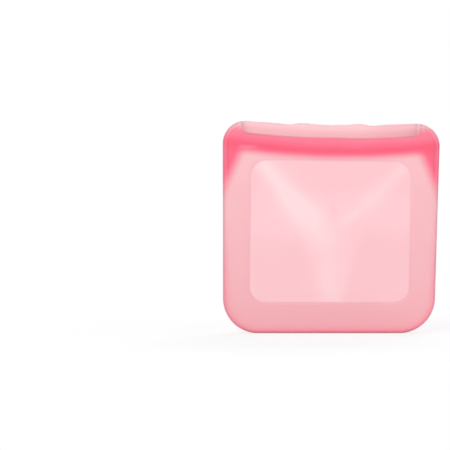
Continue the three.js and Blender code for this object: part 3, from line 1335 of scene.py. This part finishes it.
    def _inner(self, plane: Array, lip: Array) -> Array:
        """Gives the inner face's depth: a wall's thickness in, or against a corner block.

        Args:
            plane: A loop's points in x and z.
            lip: How far each point is a free lip, from 0 to 1.

        Returns:
            Depths in millimetres.
        """
        plan = self.plan
        x, z = plane.T
        inset = np.minimum(plan.half_width(z) - np.abs(x), z)
        near_rim = smooth(self.rim_reach, self.rim.radius, inset) * (1.0 - lip)
        thickness = mix(plan.border_thickness, self.rim.wall, near_rim)
        depth = plan.outer_depth(x, z) - thickness
        beside_block = smooth(-self.fillet, self.block_overlap, np.abs(x) - plan.closure_edge(z))
        against_block = beside_block * smooth(0.0, self.tail_fade, z - plan.closure_tail)
        return mix(depth, self.rim.core_half, against_block)


@dataclass(frozen=True)
class WindowPanel:
    """The thin panel in a wall, set back from the border's outer face."""

    plan: BagPlan
    side: Side
    core_half_width: float = 42.0
    core_margin: float = 24.0
    rings: int = 16
    crowding: float = 1.8

    def build(self, material: bpy.types.Material) -> bpy.types.Object:
        """Makes the panel.

        Args:
            material: The silicone.

        Returns:
            The finished piece.
        """
        plan = self.plan
        flat, faces, rim = self._sheet()
        x, z = flat[:, 0], flat[:, 1]
        outer = plan.outer_depth(x, z) - plan.window_recess
        inner = outer - plan.window_thickness
        sign = self.side.value
        points = np.concatenate([
            np.stack([x, sign * outer, z], axis=1),
            np.stack([x, sign * inner, z], axis=1),
        ])
        count = len(flat)
        back_faces = [tuple(count + corner for corner in reversed(face)) for face in faces]
        border = [
            (here, there, there + count, here + count)
            for here, there in zip(rim, rim[1:] + rim[:1])
        ]
        tones = ColourDepth(plan).wall(points[:, 0], points[:, 2], self.side)
        faces = faces + back_faces + border
        piece = make_piece(f"{self.side.word}_window_panel", plan, points, faces, tones)
        dress(piece, material, (f"{self.side.word}_window",))
        follow_wall(piece, plan)
        return piece

    def _sheet(self) -> tuple[Array, list[tuple[int, ...]], list[int]]:
        """Lays out the panel as rings round a rectangular grid, closer together near the edge.

        Returns:
            Points in x and z, faces, and the numbers of the points on the panel's edge.
        """
        plan = self.plan
        half, bottom, top = plan.window
        edge = WallShell(plan, self.side).window_loop(half, bottom, top, plan.window_corner)
        low, high = bottom + self.core_margin, top - self.core_margin
        core = self._rectangle(self.core_half_width, low, high)
        # The last ring is the grid's own border, so it isn't made twice.
        shares = [(step / self.rings) ** self.crowding for step in range(self.rings)]
        rings = [mix(edge, core, share) for share in shares]
        columns = COUNTS.loop
        across = 2 * (COUNTS.bottom + COUNTS.low_corner // 2)
        up = COUNTS.half - across
        grid_x = np.linspace(-self.core_half_width, self.core_half_width, across + 1)
        grid_z = np.linspace(low, high, up + 1)
        grid = np.stack(np.meshgrid(grid_x, grid_z), axis=-1).reshape(-1, 2)
        first = self.rings * columns

        def number(column: int, row: int) -> int:
            """Gives the number of the grid's point in a column and row."""
            return first + row * (across + 1) + column

        faces: list[tuple[int, ...]] = list(ring_faces(self.rings, columns, close=False))
        faces += [
            (number(i, row), number(i + 1, row), number(i + 1, row + 1), number(i, row + 1))
            for row in range(up)
            for i in range(across)
        ]
        border = (
            [number(i, 0) for i in range(across // 2, across)]
            + [number(across, row) for row in range(up)]
            + [number(i, up) for i in range(across, 0, -1)]
            + [number(0, row) for row in range(up, 0, -1)]
            + [number(i, 0) for i in range(across // 2)]
        )
        last = first - columns
        faces += [
            (last + i, last + (i + 1) % columns, border[(i + 1) % columns], border[i])
            for i in range(columns)
        ]
        return np.concatenate(rings + [grid]), faces, list(range(columns))

    def _rectangle(self, half: float, low: float, high: float) -> Array:
        """Gives a rectangle with as many points on each side as the loops bring there.

        Args:
            half: Half its width.
            low: Height of its lower edge.
            high: Height of its upper edge.

        Returns:
            Its points in x and z.
        """
        across = COUNTS.bottom + COUNTS.low_corner // 2
        up = COUNTS.half - 2 * across
        right = np.concatenate([
            np.stack([np.linspace(0.0, half, across + 1)[:-1], np.full(across, low)], axis=1),
            np.stack([np.full(up, half), np.linspace(low, high, up + 1)[:-1]], axis=1),
            np.stack([np.linspace(half, 0.0, across + 1), np.full(across + 1, high)], axis=1),
        ])
        return np.concatenate([right, right[1:-1][::-1] * MIRROR])


@dataclass(frozen=True)
class MouthStrip:
    """A bar across the mouth with a rounded section, sagging with the seal.

    Bottom and top are its heights in the middle of the bag, near and far its least and greatest y.
    """

    plan: BagPlan
    name: str
    side: Side
    node: str
    half_width: float
    bottom: float
    top: float
    near: float
    far: float
    rounding: float
    slot: str = "seal_silicone"
    tone: float = 1.0

    STEPS = 96
    QUARTER = 4

    def build(self, material: bpy.types.Material) -> bpy.types.Object:
        """Makes the bar.

        Args:
            material: The silicone.

        Returns:
            The finished piece.
        """
        x = np.linspace(-self.half_width, self.half_width, self.STEPS + 1)
        section = self._section()
        rise = self.plan.sagging(x, 0.0, self.plan.sag)
        rows = [
            np.stack([np.full(len(section), place), section[:, 0], section[:, 1] + lift], axis=1)
            for place, lift in zip(x, rise)
        ]
        points = np.concatenate(rows)
        columns = len(section)
        faces: list[tuple[int, ...]] = list(ring_faces(len(rows), columns, close=False))
        faces.append(tuple(range(columns)))
        faces.append(tuple(range(len(points) - columns, len(points))))
        piece = make_piece(self.name, self.plan, points, faces, np.full(len(points), self.tone))
        dress(piece, material, (self.node,))
        follow_wall(piece, self.plan)
        return piece

    def _section(self) -> Array:
        """Draws the bar's section, a rectangle with rounded corners.

        Returns:
            Its points in y and z.
        """
        radius = self.rounding
        centres = (
            (self.far - radius, self.top - radius, 0.0),
            (self.near + radius, self.top - radius, 90.0),
            (self.near + radius, self.bottom + radius, 180.0),
            (self.far - radius, self.bottom + radius, 270.0),
        )
        corner = np.linspace(0.0, 90.0, self.QUARTER + 1)
        points = []
        for y, z, start in centres:
            angle = np.radians(start + corner)
            points.append(np.stack([y + radius * np.cos(angle), z + radius * np.sin(angle)], axis=1))
        return np.concatenate(points)


@dataclass(frozen=True)
class EdgeBond:
    """The fine line of bonding silicone between the two shells."""

    plan: BagPlan
    rim: RimSection = RimSection()
    recess: float = 0.12
    tone: float = 0.5

    def build(self, material: bpy.types.Material) -> bpy.types.Object:
        """Makes the bond line, which stays with the edge.

        Args:
            material: The silicone.

        Returns:
            The finished piece.
        """
        outer = self._path(self.recess)
        inner = self._path(self.rim.wall)
        half = self.rim.bond_half
        sections = []
        for (out_x, out_z), (in_x, in_z) in zip(outer, inner):
            sections.append([
                (out_x, -half, out_z),
                (out_x, half, out_z),
                (in_x, half, in_z),
                (in_x, -half, in_z),
            ])
        points = np.array(sections).reshape(-1, 3)
        count = len(outer)
        faces: list[tuple[int, ...]] = list(ring_faces(count, 4, close=False))
        faces += [(0, 1, 2, 3), tuple(range(4 * count - 4, 4 * count))]
        tones = np.full(len(points), self.tone)
        piece = make_piece("edge_bond_line", self.plan, points, faces, tones)
        dress(piece, material, ("edge_bond",))
        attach(piece, "edge")
        return piece

    def _path(self, inset: float) -> Array:
        """Gives the outline below the corner blocks, from the left end round to the right.

        Args:
            inset: How far in from the outline the path runs.

        Returns:
            Its points in x and z.
        """
        plan = self.plan
        loop = Loop(
            bottom=inset,
            bottom_corner=plan.bottom_corner - inset,
            side=lambda z: plan.half_width(z) - inset,
            top=lambda x: np.full(np.shape(x), plan.height),
            top_corner=plan.top_corner,
            top_centre=plan.arc_centre_z,
            tail=plan.closure_tail,
            shoulder=plan.closure_shoulder,
        )
        right = loop.right_half()[: COUNTS.bottom + COUNTS.low_corner + COUNTS.side + 1]
        return np.concatenate([right[1:][::-1] * MIRROR, right])


@dataclass(frozen=True)
class CornerBlock:
    """The solid block between the shells at one corner of the mouth."""

    plan: BagPlan
    hand: int
    rim: RimSection = RimSection()
    recess: float = 0.12
    top_gap: float = 0.6
    steps: int = 30
    columns: int = 8
    # Its tone, and how much paler it is towards its top and on its face beside the lips.
    tone: float = 0.93
    upper: Fade = Fade(0.12, 150.0, 176.0)
    mouth_face: Fade = Fade(0.32, 4.0, 1.0)
    mouth_growth: Fade = Fade(1.0, 168.0, 176.0)

    def build(self, material: bpy.types.Material) -> bpy.types.Object:
        """Makes the block, which stays with the edge.

        Args:
            material: The silicone.

        Returns:
            The finished piece.
        """
        spine = self._spine()
        half = self.rim.core_half
        sections = []
        for outer, inner in spine:
            share = np.linspace(0.0, 1.0, self.columns)[:, None]
            line = mix(outer[None], inner[None], share)
            front = np.stack([line[:, 0], np.full(self.columns, -half), line[:, 1]], axis=1)
            back = front[::-1] * np.array([1.0, -1.0, 1.0])
            sections.append(np.concatenate([front, back]))
        points = np.concatenate(sections) * np.array([self.hand, 1.0, 1.0])
        around = 2 * self.columns
        faces: list[tuple[int, ...]] = list(ring_faces(len(sections), around, close=False))
        faces += [tuple(range(around)), tuple(range(len(points) - around, len(points)))]
        side = "right" if self.hand > 0 else "left"
        tones = self._tones(points[:, 0], points[:, 2])
        piece = make_piece(f"corner_block_{side}", self.plan, points, faces, tones)
        dress(piece, material, (f"corner_closure_{side}",))
        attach(piece, "edge")
        return piece

    def _tones(self, x: Array, z: Array) -> Array:
        """Gives the block's deep colour, paler at its top and on its face beside the lips."""
        mouth = self.mouth_face.at(np.abs(x) - self.plan.closure_x) * self.mouth_growth.at(z)
        return self.tone - self.upper.at(z) - ColourDepth(self.plan).corner_top.at(z) - mouth

    def _spine(self) -> list[tuple[Array, Array]]:
        """Walks up the block from its tail to its top.

        Returns:
            Pairs of points in x and z, one on the outline and one on the block's inner edge.
        """
        plan = self.plan
        arc_x = plan.half_top - plan.top_corner
        inner_x = plan.closure_x
        pairs = []
        for z in np.linspace(plan.closure_tail, plan.arc_centre_z, self.steps, endpoint=False):
            outline = plan.half_width(z) - self.recess
            pairs.append((np.array([outline, z]), np.array([plan.closure_edge(z), z])))
        radius = plan.top_corner - self.recess
        last = math.acos((inner_x + self.top_gap - arc_x) / radius)
        top_z = plan.arc_centre_z + radius * math.sin(last)
        for share in np.linspace(0.0, 1.0, self.steps + 1):
            angle = share * last
            outer_z = plan.arc_centre_z + radius * math.sin(angle)
            outer = np.array([arc_x + radius * math.cos(angle), outer_z])
            inner = np.array([inner_x, mix(plan.arc_centre_z, top_z, share)])
            pairs.append((outer, inner))
        return pairs


# ------------------------------------------------------------------ the studio


@dataclass(frozen=True)
class Lamp:
    """A square lamp that looks at the bag: place and size in metres, power in watts."""

    name: str
    place: tuple[float, float, float]
    size: float
    power: float

    def hang(self) -> None:
        """Hangs the lamp and turns it to the middle of the bag."""
        data = bpy.data.lights.new(self.name, "AREA")
        data.size = self.size
        data.energy = self.power
        lamp = bpy.data.objects.new(self.name, data)
        lamp.location = self.place
        aim = (CAD_BOX[0] + CAD_BOX[1]) / 2 - Vector(self.place)
        lamp.rotation_euler = aim.to_track_quat("-Z", "Y").to_euler()
        bpy.context.scene.collection.objects.link(lamp)


@dataclass(frozen=True)
class Studio:
    """The floor, the lamps, the white surroundings and the camera.

    Sizes are in metres and the camera's elevation is in degrees.
    """

    distance: float = 2.2
    view_width: float = 0.3948
    side_step: float = -0.0920
    height_step: float = 0.0024
    elevation: float = 1.5
    floor_half: float = 3.0
    sky_strength: float = 0.586

    # A key from the upper left, a weaker fill from the right and one lamp behind.
    LAMPS = (
        Lamp("key_lamp", (-0.8, -1.6, 1.3), 1.1, 17.0),
        Lamp("fill_lamp", (1.5, -1.2, 0.6), 1.0, 5.7),
        Lamp("back_lamp", (0.6, 1.8, 1.3), 1.2, 20.0),
    )

    def build(self) -> None:
        """Sets up everything that isn't the bag."""
        self._camera()
        self._floor()
        self._world()
        for lamp in self.LAMPS:
            lamp.hang()
        bpy.context.scene.view_settings.view_transform = "Standard"

    def _camera(self) -> None:
        """Stands a long lens nearly level with the bag."""
        data = bpy.data.cameras.new("camera")
        data.sensor_width = 36.0
        data.lens = data.sensor_width * self.distance / self.view_width
        data.clip_end = 20.0
        camera = bpy.data.objects.new("camera", data)
        low, high = CAD_BOX
        middle = (low + high) / 2
        tilt = math.radians(self.elevation)
        camera.location = (
            middle.x + self.side_step,
            middle.y - self.distance * math.cos(tilt),
            middle.z + self.height_step + self.distance * math.sin(tilt),
        )
        camera.rotation_euler = Euler((math.pi / 2 - tilt, 0.0, 0.0))
        bpy.context.scene.collection.objects.link(camera)
        bpy.context.scene.camera = camera

    def _floor(self) -> None:
        """Lays a pale floor that melts into the white surroundings."""
        half = self.floor_half
        mesh = bpy.data.meshes.new("floor")
        corners = [(-half, -half, 0.0), (half, -half, 0.0), (half, half, 0.0), (-half, half, 0.0)]
        mesh.from_pydata(corners, [], [(0, 1, 2, 3)])
        floor = bpy.data.objects.new("floor", mesh)
        bpy.context.scene.collection.objects.link(floor)
        mesh.materials.append(FloorFinish().material())

    def _world(self) -> None:
        """Surrounds the scene with soft light, seen as plain white."""
        world = bpy.data.worlds.new("studio")
        bpy.context.scene.world = world
        world.use_nodes = True
        tree = world.node_tree
        soft = tree.nodes["Background"]
        feed(tree, soft, {"Color": WHITE, "Strength": self.sky_strength})
        white = add_node(tree, "Background", {"Color": WHITE, "Strength": 1.0})
        looks = {"Fac": seen(tree), 1: soft.outputs[0], 2: white.outputs[0]}
        blend = add_node(tree, "MixShader", looks)
        feed(tree, tree.nodes["World Output"], {"Surface": blend.outputs[0]})


# ------------------------------------------------------------------ the whole bag


def seal_strips(plan: BagPlan) -> list[MouthStrip]:
    """Lists the inner collar bands, the rib and the two rails.

    Args:
        plan: The bag's sizes.

    Returns:
        The strips, ready to build.
    """
    skin = plan.collar_depth - plan.border_thickness
    strips = []
    for side in Side:
        near, far = sorted((side.value * skin, side.value * plan.seal_half_gap))
        strips.append(
            MouthStrip(
                plan=plan,
                name=f"{side.word}_collar_band",
                side=side,
                node=f"{side.word}_collar",
                half_width=plan.closure_x - plan.band_gap,
                bottom=plan.collar_bottom,
                top=plan.collar_top,
                near=near,
                far=far,
                rounding=0.6,
            )
        )
    for name, side, node in (
        ("seal_rib", Side.FRONT, "front_seal_rib"),
        ("seal_rail_upper", Side.BACK, "back_seal_rail_upper"),
        ("seal_rail_lower", Side.BACK, "back_seal_rail_lower"),
    ):
        low, high = box_mm(node)
        rise = plan.sagging(high[0], 0.0, plan.sag)
        strips.append(
            MouthStrip(
                plan=plan,
                name=name,
                side=side,
                node=node,
                half_width=high[0],
                bottom=low[2],
                top=high[2] - rise,
                near=low[1],
                far=high[1],
                rounding=0.55,
            )
        )
    return strips


def main() -> None:
    """Builds the bag and the studio, and reports each piece."""
    logging.basicConfig(level=logging.INFO, format="%(name)s: %(message)s")
    plan = BagPlan()
    walls = SiliconeFinish("wall_silicone").material()
    panels = SiliconeFinish("window_silicone", roughness=0.38).material()
    seals = SiliconeFinish("seal_silicone", roughness=0.36).material()
    pieces = []
    for side in Side:
        pieces.append(WallShell(plan, side).build(walls))
        pieces.append(WindowPanel(plan, side).build(panels))
    pieces.append(EdgeBond(plan).build(walls))
    pieces += [CornerBlock(plan, hand).build(seals) for hand in (-1, 1)]
    pieces += [strip.build(seals) for strip in seal_strips(plan)]
    for piece in pieces:
        LOG.info("%s: %d faces", piece.name, len(piece.data.polygons))
    Studio().build()


if __name__ == "__main__":
    main()
